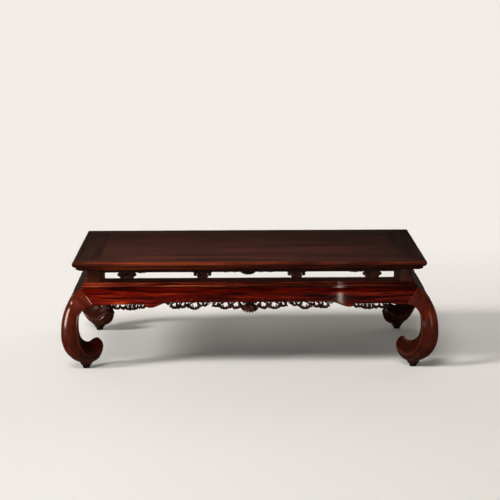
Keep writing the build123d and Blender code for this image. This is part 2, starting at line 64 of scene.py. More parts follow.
SIDES = {
    "front": (TOP_LENGTH, TOP_DEPTH / 2, 0),
    "right": (TOP_DEPTH, TOP_LENGTH / 2, 90),
    "back": (TOP_LENGTH, TOP_DEPTH / 2, 180),
    "left": (TOP_DEPTH, TOP_LENGTH / 2, 270),
}
SHOULDER_RISE = (APRON_TOP - DRUM_LEVEL) / DRUM_RISE
DRUM_DEPTH = (DRUM_REACH + SHOULDER_INSET) / (1 - math.sqrt(1 - SHOULDER_RISE**2))


def bulge(height):
    """Inset of the bulging outer face at a height."""
    rise = (height - DRUM_LEVEL) / DRUM_RISE
    return DRUM_DEPTH * (1 - math.sqrt(1 - rise**2)) - DRUM_REACH


def mitre(height):
    """Inset of the slanting joint between leg and apron at a height."""
    share = (height - APRON_FOOT) / (APRON_TOP - APRON_FOOT)
    return MITRE_FOOT_INSET + (SHOULDER_INSET - MITRE_FOOT_INSET) * share


# ---- Making and keeping pieces ----
# Points round a section of the leg where its finish paints light and shade: painted shade on the
# hollow inner faces and on the faces beside the rims, where it grows from the middle of the face,
# and a painted highlight on the beaded rims
SECTION_POINTS = 54
VERGE_START = 4
VERGE_RUN = 7
MARKS = {
    "inner": {i: 1.0 for i in range(20, 35)},
    "rim": {i: 1.0 for i in (*range(13, 19), *range(36, 42))},
    "verge": {i: min(1.0, (i - VERGE_START) / VERGE_RUN) for i in range(VERGE_START + 1, 20)},
}
MARKS["verge"].update({SECTION_POINTS - i: share for i, share in MARKS["verge"].items()})


def ring(shape, points):
    """A closed loop of edges through these points."""
    corners = [shape.verts.new(p) for p in points]
    for mark, places in MARKS.items():
        layer = shape.verts.layers.float.get(mark)
        if layer:
            for i, share in places.items():
                corners[i % len(corners)][layer] = share
    return [shape.edges.new((corners[i - 1], corners[i])) for i in range(len(corners))]


def bridged(shape, outlines):
    """A skin over a row of closed outlines, filled at both ends."""
    loops = [ring(shape, outline) for outline in outlines]
    for near, far in zip(loops, loops[1:]):
        bmesh.ops.bridge_loops(shape, edges=near + far)
    bmesh.ops.holes_fill(shape, edges=loops[0] + loops[-1], sides=0)


def keep(name, shape, finish, slot, *cad_nodes, sharp=38):
    """Turns a shape into a piece of the table."""
    bmesh.ops.recalc_face_normals(shape, faces=shape.faces)
    mesh = bpy.data.meshes.new(name)
    shape.to_mesh(mesh)
    shape.free()
    mesh.materials.append(finish)
    mesh.shade_smooth()
    mesh.set_sharp_from_angle(angle=math.radians(sharp))
    made = bpy.data.objects.new(name, mesh)
    bpy.context.scene.collection.objects.link(made)
    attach(made, "root")
    if cad_nodes:
        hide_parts(*cad_nodes)


def turn_to(shape, side):
    """Turns a shape made for the front to its own side of the table."""
    turn = Matrix.Rotation(math.radians(SIDES[side][2]), 3, "Z")
    bmesh.ops.rotate(shape, verts=shape.verts, matrix=turn)


def merge(whole, part):
    """Moves the mesh of one shape into another."""
    mesh = bpy.data.meshes.new("part")
    part.to_mesh(mesh)
    part.free()
    whole.from_mesh(mesh, vertex_normals=False)
    bpy.data.meshes.remove(mesh)


def around(centre, half_width, half_height, degrees):
    """A place on an oval round a centre, as (along, height)."""
    turn = math.radians(degrees)
    return centre[0] + half_width * math.cos(turn), centre[1] + half_height * math.sin(turn)


def bars(shape, paths, thickness, depth):
    """Round carving bars along flat paths; depth is their size front to back.

    A path has (along, height) at each point, and may have its share of the thickness there.
    """
    line = bpy.data.curves.new("bars", "CURVE")
    line.dimensions = "3D"
    line.bevel_depth = thickness / 2
    line.bevel_resolution = 1
    line.use_fill_caps = True
    for path in paths:
        spline = line.splines.new("POLY")
        spline.points.add(len(path) - 1)
        for point, (along, height, *rest) in zip(spline.points, path):
            point.co = (along, 0, height, 1)
            point.radius = rest[0] if rest else 1
    holder = bpy.data.objects.new("bars", line)
    bpy.context.scene.collection.objects.link(holder)
    bpy.context.view_layer.update()
    mesh = bpy.data.meshes.new_from_object(holder)
    mesh.transform(Matrix.Diagonal((1, depth / thickness, 1, 1)))
    shape.from_mesh(mesh, vertex_normals=False)
    bpy.data.objects.remove(holder)
    bpy.data.curves.remove(line)
    bpy.data.meshes.remove(mesh)


def leaf_template():
    """A unit leaf of carving, copied and reshaped for every petal and bud."""
    shape = bmesh.new()
    bmesh.ops.create_uvsphere(shape, u_segments=8, v_segments=6, radius=0.5)
    mesh = bpy.data.meshes.new("leaf")
    shape.to_mesh(mesh)
    shape.free()
    return mesh


LEAF = leaf_template()


def petal(shape, along, height, length, width, depth, angle, point=0.0):
    """Adds a rounded leaf of carving, narrowed towards its tip by point."""
    leaf = LEAF.copy()
    turn = math.radians(angle)
    for corner in leaf.vertices:
        across, deep, forth = corner.co
        x = forth * length
        z = across * width * (1 - point * (forth + 0.5))
        lengthways = along + x * math.cos(turn) - z * math.sin(turn)
        upwards = height + x * math.sin(turn) + z * math.cos(turn)
        corner.co = (lengthways, deep * depth, upwards)
    shape.from_mesh(leaf, vertex_normals=False)
    bpy.data.meshes.remove(leaf)


def spiral(centre, size, start, turns, last, steps):
    """Points of a flat scroll that winds in from its outline to a share of its size."""
    points = []
    for i in range(steps + 1):
        share = i / steps
        grow = 1 + (last - 1) * share
        spot = around(centre, size[0] * grow, size[1] * grow, start + share * turns * 360)
        points.append((*spot, 1.0 - 0.35 * share))
    return points


def lay_on_drum(shape, reach, sink):
    """Bends flat carving onto the bulging face, its middle sunk behind the face by sink."""
    for corner in shape.verts:
        inset = bulge(corner.co.z)
        corner.co.y += -reach + inset + sink


# ---- Finishes ----
def paint(red, green, blue):
    """A display colour as the shader's linear numbers."""
    shares = [c / 255 for c in (red, green, blue)]
    return [*[((s + 0.055) / 1.055) ** 2.4 if s > 0.04045 else s / 12.92 for s in shares], 1]


def palette(*colours):
    """Four tones of one wood, from its darkest streaks to its palest."""
    return [paint(*colour) for colour in colours]


def grey(level):
    return [level, level, level, 1]


def ranged(tree, value, source, result):
    """Carries a value from one range to another."""
    node = tree.nodes.new("ShaderNodeMapRange")
    tree.links.new(value, node.inputs["Value"])
    for socket, number in zip(("From Min", "From Max", "To Min", "To Max"), (*source, *result)):
        node.inputs[socket].default_value = number
    return node.outputs["Result"]


def by_ray(tree, ray, plain, seen):
    """A shader that gives way to another one where a kind of ray meets it."""
    light_path = tree.nodes.new("ShaderNodeLightPath")
    choice = tree.nodes.new("ShaderNodeMixShader")
    tree.links.new(light_path.outputs[ray], choice.inputs["Fac"])
    tree.links.new(plain, choice.inputs[1])
    tree.links.new(seen, choice.inputs[2])
    return choice.outputs["Shader"]


class Finish:
    """A material's node tree, with short calls for the nodes that a finish needs."""

    def __init__(self, name):
        self.material = bpy.data.materials.new(name)
        self.material.use_nodes = True
        self.tree = self.material.node_tree
        self.shader = self.tree.nodes["Principled BSDF"]
        self.place = self.tree.nodes.new("ShaderNodeTexCoord").outputs["Object"]

    def join(self, source, node, socket):
        self.tree.links.new(source, node.inputs[socket])

    def stretched(self, scale):
        node = self.tree.nodes.new("ShaderNodeMapping")
        node.inputs["Scale"].default_value = scale
        self.join(self.place, node, "Vector")
        return node.outputs["Vector"]

    def cloud(self, place, scale, detail, rough, bend=0.0):
        node = self.tree.nodes.new("ShaderNodeTexNoise")
        self.join(place, node, "Vector")
        node.inputs["Scale"].default_value = scale
        node.inputs["Detail"].default_value = detail
        node.inputs["Roughness"].default_value = rough
        node.inputs["Distortion"].default_value = bend
        return node.outputs["Fac"]

    def ramp(self, factor, stops):
        node = self.tree.nodes.new("ShaderNodeValToRGB")
        marks = node.color_ramp.elements
        while len(marks) < len(stops):
            marks.new(0.5)
        for mark, (place, colour) in zip(marks, stops):
            mark.position = place
            mark.color = colour
        self.join(factor, node, "Fac")
        return node.outputs["Color"]

    def sums(self, operation, first, second):
        node = self.tree.nodes.new("ShaderNodeMath")
        node.operation = operation
        for socket, value in enumerate((first, second)):
            if isinstance(value, (int, float)):
                node.inputs[socket].default_value = value
            else:
                self.tree.links.new(value, node.inputs[socket])
        return node.outputs["Value"]

    def spread(self, value, low, high, to_low, to_high):
        return ranged(self.tree, value, (low, high), (to_low, to_high))

    def mixed(self, factor, first, second, blend="MIX"):
        node = self.tree.nodes.new("ShaderNodeMix")
        node.data_type = "RGBA"
        node.blend_type = blend
        for socket, value in ((0, factor), (6, first), (7, second)):
            if isinstance(value, (int, float, list)):
                node.inputs[socket].default_value = value
            else:
                self.tree.links.new(value, node.inputs[socket])
        return node.outputs[2]

    def axis(self, letter, vector=None):
        node = self.tree.nodes.new("ShaderNodeSeparateXYZ")
        self.join(vector or self.place, node, "Vector")
        return node.outputs[letter]

    def mark(self, name):
        node = self.tree.nodes.new("ShaderNodeAttribute")
        node.attribute_name = name
        return node.outputs["Fac"]

    def bump(self, height, strength, distance):
        node = self.tree.nodes.new("ShaderNodeBump")
        node.inputs["Strength"].default_value = strength
        node.inputs["Distance"].default_value = distance
        self.join(height, node, "Height")
        self.join(node.outputs["Normal"], self.shader, "Normal")


def along_grain(grain, length, width):
    """Pattern scales for grain that runs along one axis."""
    return [1 / length if letter == grain else 1 / width for letter in "XYZ"]


# Shares of a pattern at which the four tones of a wood stand
TONE_STOPS = (0.36, 0.47, 0.56, 0.66)
PORE_LENGTH = 0.018
PORE_WIDTH = 0.0007
# Share of the tone at the back of the table: painted shade behind the painted light at its front
FAR_PAINTED_SHADE = [0.40, 0.42, 0.42, 1]
# Heights where a leg's post begins and where its knee rounds over, and places beside its mitre
POST_FOOT = (0.277, 0.283)
KNEE = (0.195, 0.235)
BESIDE_MITRE = (0.53, 0.59)
SCUFFED = (0.012, 0.075)
# Painted shade in the hollows of the feet
HOLLOW_PAINTED_SHADE = paint(24, 5, 2)
# Painted highlight on the beaded rims of the legs
RIM_PAINTED_HIGHLIGHT = paint(104, 42, 22)
SCUFF_TONE = paint(58, 42, 33)


def leg_shades(finish, colour, coat):
    """Painted shade by the right-hand mitres, by the rims and in the hollows, painted highlight on the
    rims; dull in the hollows.
    """
    # Painted shade on the right-hand legs, on the shoulder beside the mitre, between the knee and the
    # post
    knee = finish.spread(finish.axis("Z"), *KNEE, 0.0, 1.0)
    under_post = finish.spread(finish.axis("Z"), *POST_FOOT, 1.0, 0.0)
    right_half = finish.spread(finish.axis("X"), 0.0, 0.1, 0.0, 1.0)
    shoulder = finish.sums("MULTIPLY", finish.sums("MULTIPLY", knee, under_post), right_half)
    beside = finish.spread(finish.axis("X"), *BESIDE_MITRE, 0.46, 0.88)
    shade = finish.ramp(beside, [(0.0, grey(0)), (1.0, grey(1))])
    colour = finish.mixed(shoulder, colour, shade, "MULTIPLY")
    # Painted shade on the faces beside the rims, growing towards the rim, mostly below the knee
    beside_rim = finish.ramp(finish.mark("verge"), [(0.0, grey(1)), (1.0, [0.5, 0.46, 0.42, 1])])
    below = finish.spread(finish.axis("Z"), *KNEE, 1.0, 0.15)
    colour = finish.mixed(below, colour, beside_rim, "MULTIPLY")
    # Painted shade on the hollow inner faces; their varnish is also duller there
    inner = finish.mark("inner")
    colour = finish.mixed(finish.sums("MULTIPLY", inner, 0.8), colour, HOLLOW_PAINTED_SHADE)
    finish.join(finish.spread(inner, 0.0, 1.0, coat, coat * 0.15), finish.shader, "Coat Weight")
    # Painted highlight: the beaded rims are lightened
    return finish.mixed(finish.sums("MULTIPLY", finish.mark("rim"), 0.3), colour, RIM_PAINTED_HIGHLIGHT)


def foot_wear(finish, colour):
    """Scuffs low on a foot."""
    scuffs = finish.cloud(finish.place, 60.0, 6.0, 0.7)
    low = finish.spread(finish.axis("Z"), *SCUFFED, 0.7, 0.0)
    share = finish.sums("MULTIPLY", low, finish.spread(scuffs, 0.35, 0.65, 0.35, 1.0))
    return finish.mixed(share, colour, SCUFF_TONE)


def varnished_wood(
    name, tones, grain, figure=(0.42, 0.028), streak=(0.16, 0.0045), gloss=0.36, coat=0.5,
    coat_blur=0.09, shine=0.22, downward_shade=0.35, painted_falloff=None, near=None, lit_edge_tones=None,
    post_tone=None, leg=False,
):
    """Dark hardwood: broad figure, fine streaks and open pores under varnish.

    figure and streak are the length and width of a pattern. coat is the varnish's weight, coat_blur
    its roughness, and gloss and shine are the wood's own. The rest are shares of the tone or other
    tones: downward_shade is painted shade on faces that look down, painted_falloff is painted light
    that falls off from the left end over the middle to the right end, near is painted light at the
    front of the table that gives way to painted shade at the back, lit_edge_tones is a brighter copy
    of the tones painted on upright faces as painted light, post_tone is the tone of a leg's post, and
    leg adds a leg's painted shade and painted highlights and its scuffs.
    """
    finish = Finish(name)
    broad = finish.cloud(finish.stretched(along_grain(grain, *figure)), 1.0, 5.0, 0.6, 0.5)
    fine = finish.cloud(finish.stretched(along_grain(grain, *streak)), 1.0, 4.0, 0.65, 0.2)
    pores = finish.cloud(finish.stretched(along_grain(grain, PORE_LENGTH, PORE_WIDTH)), 1.0, 2.0, 0.5)
    blend = finish.sums("ADD", finish.sums("MULTIPLY", broad, 0.6), finish.sums("MULTIPLY", fine, 0.4))
    colour = finish.ramp(blend, list(zip(TONE_STOPS, tones)))
    facing = finish.tree.nodes.new("ShaderNodeNewGeometry").outputs["Normal"]
    level = finish.axis("Z", facing)
    # Painted light: upright faces take the brighter, redder lit_edge_tones
    if lit_edge_tones:
        edge = finish.ramp(blend, list(zip(TONE_STOPS, lit_edge_tones)))
        colour = finish.mixed(finish.spread(level, 0.55, 0.95, 1.0, 0.0), colour, edge)
    if post_tone:
        above = finish.spread(finish.axis("Z"), *POST_FOOT, 0.0, 1.0)
        colour = finish.mixed(above, colour, post_tone)
    pore_tone = finish.ramp(pores, [(0.36, [0.35, 0.3, 0.28, 1]), (0.47, grey(1))])
    colour = finish.mixed(0.6, colour, pore_tone, "MULTIPLY")
    # Painted shade: faces that look down are darkened to the downward_shade share of the tone
    shades = [(finish.spread(level, -0.5, 0.25, 0.0, 1.0), [(0.0, grey(downward_shade)), (1.0, grey(1))])]
    # Painted light at the front of the table, giving way to painted shade towards the back
    if near:
        depth = finish.spread(finish.axis("Y"), -TOP_DEPTH / 2, TOP_DEPTH / 2, 0.0, 1.0)
        shades.append((depth, [(0.0, [near * 1.05, near, near * 0.97, 1]), (1.0, FAR_PAINTED_SHADE)]))
    # Painted light: the tone falls off from the left end to the right end of the table
    if painted_falloff:
        away = finish.spread(finish.axis("X"), -TOP_LENGTH / 2, TOP_LENGTH / 2, 0.0, 1.0)
        shades.append((away, [(place, grey(share)) for place, share in zip((0.0, 0.5, 1.0), painted_falloff)]))
    for factor, stops in shades:
        colour = finish.mixed(1.0, colour, finish.ramp(factor, stops), "MULTIPLY")
    finish.shader.inputs["Coat Weight"].default_value = coat
    if leg:
        colour = foot_wear(finish, leg_shades(finish, colour, coat))
    finish.join(colour, finish.shader, "Base Color")
    roughness = finish.spread(fine, 0.3, 0.7, gloss + 0.07, gloss - 0.05)
    finish.join(roughness, finish.shader, "Roughness")
    finish.shader.inputs["Specular IOR Level"].default_value = shine
    finish.shader.inputs["Coat Roughness"].default_value = coat_blur
    relief = finish.sums("ADD", pores, finish.sums("MULTIPLY", fine, 0.5))
    finish.bump(relief, 0.10 if coat_blur > 0.06 else 0.05, 0.0004)
    return finish.material


TOP_TONES = palette((40, 20, 15), (68, 34, 26), (86, 43, 33), (110, 52, 36))
END_TONES = palette((36, 20, 16), (56, 30, 24), (68, 36, 28), (84, 44, 33))
# Brighter, redder tones painted on the upright faces of the top's rails as painted light
LIT_EDGE_TONES = palette((34, 10, 5), (74, 23, 9), (108, 40, 16), (150, 64, 28))
CORNER_TONES = palette((46, 19, 9), (76, 33, 16), (96, 43, 22), (116, 55, 29))
# Pale tones of the painted highlight along the mitres
MITRE_HIGHLIGHT_TONES = palette((150, 112, 94), (190, 150, 130), (215, 180, 160), (235, 205, 190))
WAIST_TONES = palette((22, 7, 4), (42, 14, 7), (60, 21, 10), (82, 31, 15))
MOULD_TONES = palette((26, 4, 2), (74, 15, 5), (122, 37, 13), (206, 100, 52))
APRON_TONES = palette((14, 1, 1), (64, 6, 2), (120, 18, 4), (190, 66, 16))
# Tones for the side aprons: a darker copy of the front apron's, painted shade
SIDE_APRON_SHADED_TONES = palette((14, 3, 2), (44, 8, 4), (78, 19, 8), (120, 44, 16))
CARVED_TONES = palette((9, 4, 3), (30, 11, 7), (76, 34, 25), (176, 116, 92))
STRUT_TONES = palette((26, 9, 5), (62, 25, 14), (92, 40, 23), (130, 64, 38))
LEG_TONES = palette((48, 12, 4), (84, 21, 6), (108, 32, 9), (138, 50, 17))
PAD_TONES = palette((18, 12, 9), (34, 23, 18), (48, 34, 27), (66, 50, 40))

panel_wood = varnished_wood(
    "panel_wood", TOP_TONES, "X", (0.55, 0.05), (0.3, 0.009), 0.42, 0.08,
    shine=0.1, painted_falloff=(0.97, 0.92, 0.38), near=1.52,
)
rail_wood = {
    "X": varnished_wood(
        "long_rail_wood", TOP_TONES, "X", (0.35, 0.03), (0.14, 0.005), 0.38, 0.14,
        coat_blur=0.05, downward_shade=0.5, painted_falloff=(1, 0.84, 0.48), near=1.22, lit_edge_tones=LIT_EDGE_TONES,
    ),
    "Y": varnished_wood(
        "end_rail_wood", END_TONES, "Y", (0.5, 0.04), (0.25, 0.008), 0.42, 0.1,
        shine=0.1, painted_falloff=(1, 0.8, 0.5), near=1.25, lit_edge_tones=LIT_EDGE_TONES,
    ),
}
waist_wood = {a: varnished_wood(f"waist_wood_{a}", WAIST_TONES, a, coat=0.8) for a in "XY"}
corner_wood = {a: varnished_wood(f"corner_wood_{a}", CORNER_TONES, a, coat=0.6) for a in "XY"}
# Painted highlight along the mitre lines: pale at the left end, almost black in the middle and at the
# right end
mitre_highlight_wood = varnished_wood(
    "mitre_highlight_wood", MITRE_HIGHLIGHT_TONES, "Z", (0.04, 0.01), (0.02, 0.003), 0.3,
    downward_shade=0.5, painted_falloff=(1, 0.03, 0.02),
)
moulding_wood = {
    a: varnished_wood(
        f"moulding_wood_{a}", MOULD_TONES, a, (0.2, 0.02), (0.09, 0.003), 0.28, 1.0,
        coat_blur=0.045, painted_falloff=(1.55, 0.65, 0.50),
    )
    for a in "XY"
}
# The side aprons take their darker tones as painted shade
apron_wood = {
    a: varnished_wood(
        f"apron_wood_{a}", tones, a, (0.20, 0.014), (0.09, 0.0030), 0.32, 1.0,
        coat_blur=0.045, shine=0.1, painted_falloff=(1.14, 0.52, 0.35),
    )
    for a, tones in (("X", APRON_TONES), ("Y", SIDE_APRON_SHADED_TONES))
}
carved_wood = varnished_wood(
    "carved_wood", CARVED_TONES, "X", (0.012, 0.007), (0.006, 0.003), 0.34, downward_shade=0.6
)
strut_wood = varnished_wood("strut_wood", STRUT_TONES, "X", (0.03, 0.01), (0.012, 0.003), downward_shade=0.6)
leg_wood = varnished_wood(
    "leg_wood", LEG_TONES, "Z", (0.30, 0.05), (0.14, 0.009), 0.3, 1.0,
    coat_blur=0.19, downward_shade=0.7, painted_falloff=(1.0, 0.88, 0.76), post_tone=paint(80, 29, 13), leg=True,
)
batten_wood = varnished_wood("batten_wood", WAIST_TONES, "Y", gloss=0.5, coat=0.0)
pad_wood = varnished_wood("pad_wood", PAD_TONES, "Z", (0.02, 0.01), (0.01, 0.002), 0.5, 0.1)


def grain_of(side):
    return "X" if side in ("front", "back") else "Y"


def refinish(node, material):
    nodes[node].material_slots[0].material = material


for side in SIDES:
    grain = grain_of(side)
    refinish(f"top_rail_{side}", rail_wood[grain])
    refinish(f"waist_rail_upper_{side}", waist_wood[grain])
    refinish(f"waist_rail_lower_{side}", waist_wood[grain])
    refinish(f"corner_strut_{side}_1", corner_wood[grain])
    refinish(f"corner_strut_{side}_2", corner_wood[grain])
    refinish(f"waist_moulding_{side}", moulding_wood[grain])
for half in ("front", "back"):
    refinish(f"panel_board_{half}", panel_wood)
for number in (1, 2, 3):
    refinish(f"batten_{number}", batten_wood)
for node in nodes:
    if node.startswith("foot_pad"):
        refinish(node, pad_wood)


# ---- Aprons: bulging board, openwork and beads ----
EDGE_FOOT = 0.2250
LEG_FRET_DROP = 0.0060
SHORT_FRET_STEP = 0.135
FRET_STEP_LEAD = 0.005
FRET_STEP_RUN = 0.010
FRET_FROM_MITRE = 0.040
FRET_RAMP = 0.012
SIDE_SCROLL_CENTRE = 0.208
LEG_SCROLL_FROM_MITRE = 0.126
SWELL_FROM_MITRE = 0.197
SWELL_INNER = 0.062
SWELL_OUTER = 0.022
SWELL_DROP = 0.012
EDGE_ROUND = 0.0015
BACK_ROUND = 0.003
# Distances between the places where the board's outline is taken, beside the mitres and between
END_STEP = 0.006
PLAIN_STEP = 0.020
PLAIN_FROM_MITRE = 0.050
# Scrolls of each group of the openwork, in millimetres: place along from the middle of the group,
# drop below the fret line, half width and half height
CENTRE_SCROLLS = [(46, 8, 17, 12), (84, 9, 21, 12), (114, 6, 12, 8)]
SIDE_SCROLLS = [(-56, 5, 10, 7), (-21, 9, 20, 13), (18, 7, 13, 10), (47, 8, 14, 11)]
LEG_SCROLLS = [
    (-46, 5, 10, 7), (-24, 6, 9, 8), (-10, 7, 9, 9), (4, 7, 9, 9), (40, 6, 14, 8), (60, 4, 9, 6),
]
# Leaves that fill between the scrolls, in millimetres: place along and drop
CENTRE_LEAVES = [(30, 11), (31, 4), (51, 16), (65, 12), (65, 5), (99, 9)]
SIDE_LEAVES = [(-41, 8), (-37, 4), (0, 11), (2, 4), (33, 14), (33, 7)]
LEG_LEAVES = [(-35, 6), (-17, 11), (-3, 12), (15, 5), (19, 10), (26, 6)]
# Leaves at both ends of a group: place along from its middle, drop, and angle
END_LEAVES = [(0.066, 0.004, -22), (0.0715, 0.0015, -10)]
BAR = 0.0060
BAR_DEPTH = 0.012
OPENWORK_SINK = 0.021
OPENWORK_DROP = 0.004
# Length and width of each kind of leaf
CURL_LEAF = (0.0090, 0.0072)
LOBE_LEAF = (0.0086, 0.0072)
STEM_LEAF = (0.0130, 0.0050)
TIP_LEAF = (0.0150, 0.0072)
BUD_LEAF = (0.0100, 0.0060)
ROOT_LEAF = (0.0140, 0.0068)
FILL_LEAF = (0.0095, 0.0064)
END_LEAF = (0.0140, 0.0045)
FILL_SPREAD = 0.0026
CURL_SPACING = 0.0045
LOBE_SPACING = 0.0046
# Half widths from which a scroll has curls and a stem inside
CURLED_FROM = 0.0095
STEMMED_FROM = 0.0165
ROSETTE_DROP = 0.013
ROSETTE_HALF_WIDTH = 0.026
ROSETTE_HALF_HEIGHT = 0.015
# Rings of petals: share of the rosette's size, count, sweep, and a petal's length, width and depth
ROSETTE_RINGS = [
    (1.0, 11, 195, 0.0105, 0.0085, 0.009), (0.74, 10, 215, 0.0095, 0.0078, 0.012),
    (0.46, 8, 300, 0.0085, 0.0072, 0.015), (0.22, 5, 300, 0.007, 0.0066, 0.0175),
]
CROWN_PITCH = 0.0068
BEAD = 0.0055
BEAD_RISE = 0.0022
MITRE_BEAD = 0.0022
MITRE_BEAD_FOOT = 0.2305
MITRE_BEAD_LENGTH = 0.025
BAND_LEVEL = FRET_TOP + 0.0048
BAND_WAVE = 0.011


def swell_drop(span, along):
    """How far the apron's edge hangs below the fret line in a swelling."""
    if span < TOP_LENGTH:
        return 0.0
    low = span / 2 - MITRE_FOOT_INSET - SWELL_FROM_MITRE
    deep = FRET_TOP - APRON_FOOT + SWELL_DROP
    away = abs(along) - low
    if -SWELL_INNER < away <= 0:
        return deep * (0.5 + 0.5 * math.cos(math.pi * away / SWELL_INNER))
    if 0 < away < SWELL_OUTER:
        radius = (SWELL_OUTER**2 + deep**2) / (2 * deep)
        return max(0.0, deep - radius + math.sqrt(max(0.0, radius**2 - away**2)))
    return 0.0


def fret_line(span, along):
    """Height of the line that the openwork hangs from: high in the middle, lower beside the legs."""
    step = SHORT_FRET_STEP
    if span == TOP_LENGTH:
        step = span / 2 - MITRE_FOOT_INSET - SWELL_FROM_MITRE
    share = min(1.0, max(0.0, (abs(along) - step + FRET_STEP_LEAD) / FRET_STEP_RUN))
    return FRET_TOP - LEG_FRET_DROP * share


def apron_edge(span, along):
    """Height of the apron's lower edge."""
    to_mitre = span / 2 - MITRE_FOOT_INSET - abs(along)
    ramp = min(1.0, max(0.0, (to_mitre - FRET_FROM_MITRE) / FRET_RAMP))
    level = EDGE_FOOT + (fret_line(span, along) - EDGE_FOOT) * ramp
    return min(level, FRET_TOP - swell_drop(span, along))


def apron_stations(span):
    """Places along an apron where its outline is taken, closer together at the swellings."""
    end = span / 2 - MITRE_FOOT_INSET
    places = [end - END_STEP * i for i in range(8)]
    low = end - SWELL_FROM_MITRE
    if span == TOP_LENGTH:
        places += [low + SWELL_OUTER * math.sin(math.pi * i / 16) for i in range(1, 9)]
        places += [low - SWELL_INNER * i / 14 for i in range(15)]
    plain_end = end - PLAIN_FROM_MITRE
    places += [i * PLAIN_STEP for i in range(int(end / PLAIN_STEP)) if i * PLAIN_STEP < plain_end]
    places = sorted(set(round(p, 5) for p in places))
    return [-p for p in reversed(places) if p > 0] + places


def apron_outline(span, reach, along):
    """Section of the board at one place: down the face, round the edge, up the back."""
    foot = apron_edge(span, along)
    points = []
    for i in range(13):
        height = APRON_TOP + (foot + EDGE_ROUND - APRON_TOP) * i / 12
        points.append((along, -reach + bulge(height), height))
    edge_face = -reach + bulge(foot)
    points.append((along, edge_face + EDGE_ROUND, foot))
    points.append((along, edge_face + APRON_THICKNESS - BACK_ROUND, foot))
    for i in range(5):
        height = foot + BACK_ROUND + (APRON_TOP - foot - BACK_ROUND) * i / 4
        points.append((along, -reach + bulge(height) + APRON_THICKNESS, height))
    if abs(along) > span / 2 - MITRE_FOOT_INSET - 1e-6:
        way = 1 if along > 0 else -1
        points = [(way * (span / 2 - max(mitre(z), y + reach)), y, z) for _, y, z in points]
    return points


def leg_group(span):
    """Middle of the group of scrolls beside a leg."""
    return span / 2 - MITRE_FOOT_INSET - LEG_SCROLL_FROM_MITRE


def scroll_groups(span):
    """Middles of the groups of scrolls beside the rosette."""
    middles = [leg_group(span)] + ([SIDE_SCROLL_CENTRE] if span == TOP_LENGTH else [])
    return [way * middle for middle in middles for way in (-1, 1)]


def group_rows(span, centre_rows, leg_rows, side_rows):
    """Rows of all the groups on one half of an apron, in metres, counted from its middle."""
    groups = [(0, centre_rows), (leg_group(span), leg_rows)]
    if span == TOP_LENGTH:
        groups.append((SIDE_SCROLL_CENTRE, side_rows))
    return [
        (middle + along / 1000, *[size / 1000 for size in sizes])
        for middle, rows in groups
        for along, *sizes in rows
    ]


def scroll(shape, paths, centre, size, way):
    """One pierced scroll: an open ring, curls inside it, lobes below it, leaves at its shoulders."""
    half_width, half_height = size[0] - BAR / 2, size[1] - BAR / 2
    ring_path = []
    for i in range(25):
        spot = around(centre, way * half_width, half_height, 118 + 328 * i / 24)
        ring_path.append((*spot, 0.70 + 0.60 * math.sin(math.pi * i / 24)))
    paths.append(ring_path)
    if half_width > CURLED_FROM:
        count = max(3, round(half_width / CURL_SPACING))
        for i in range(count):
            turn = 212 + 116 * i / (count - 1)
            spot = around(centre, half_width * 0.82, half_height * 0.70, turn)
            petal(shape, *spot, *CURL_LEAF, BAR_DEPTH * 0.75, turn, 0.3)
    if half_width > STEMMED_FROM:
        stem = (centre[0] + way * half_width * 0.34, centre[1])
        petal(shape, *stem, *STEM_LEAF, BAR_DEPTH * 0.8, 90 - 30 * way, 0.4)
    count = max(4, round((half_width + half_height) / LOBE_SPACING))
    for i in range(count):
        turn = 196 + 148 * i / (count - 1)
        spot = around(centre, half_width * 1.06, half_height * 1.06, turn)
        petal(shape, *spot, *LOBE_LEAF, BAR_DEPTH * 0.9, turn, 0.2)
    tip = (centre[0] + way * half_width * 1.02, centre[1] + half_height * 0.45)
    petal(shape, *tip, *TIP_LEAF, BAR_DEPTH * 0.8, 90 - 35 * way, 0.45)
    bud = (tip[0] + way * 0.003, tip[1] - 0.006)
    petal(shape, *bud, *BUD_LEAF, BAR_DEPTH * 0.7, 90 + 20 * way, 0.3)
    root = (centre[0] - way * half_width * 0.75, centre[1] + half_height * 0.75)
    petal(shape, *root, *ROOT_LEAF, BAR_DEPTH * 0.8, 90 + 30 * way, 0.3)


def rosette(shape):
    """Rings of petals that stand further out towards the middle, under a small crown."""
    centre = (0, FRET_TOP - ROSETTE_DROP)
    for share, count, sweep, length, width, depth in ROSETTE_RINGS:
        for i in range(count):
            turn = 270 - sweep / 2 + sweep * i / (count - 1)
            spot = around(centre, ROSETTE_HALF_WIDTH * share, ROSETTE_HALF_HEIGHT * share, turn)
            petal(shape, *spot, length, width, depth, turn)
    petal(shape, *centre, 0.007, 0.007, 0.019, 0)
    petal(shape, *centre, 0.042, 0.026, 0.007, 0)
    for i in range(7):
        petal(shape, (i - 3) * CROWN_PITCH, FRET_TOP - 0.0005, 0.008, 0.0072, 0.010, 90)


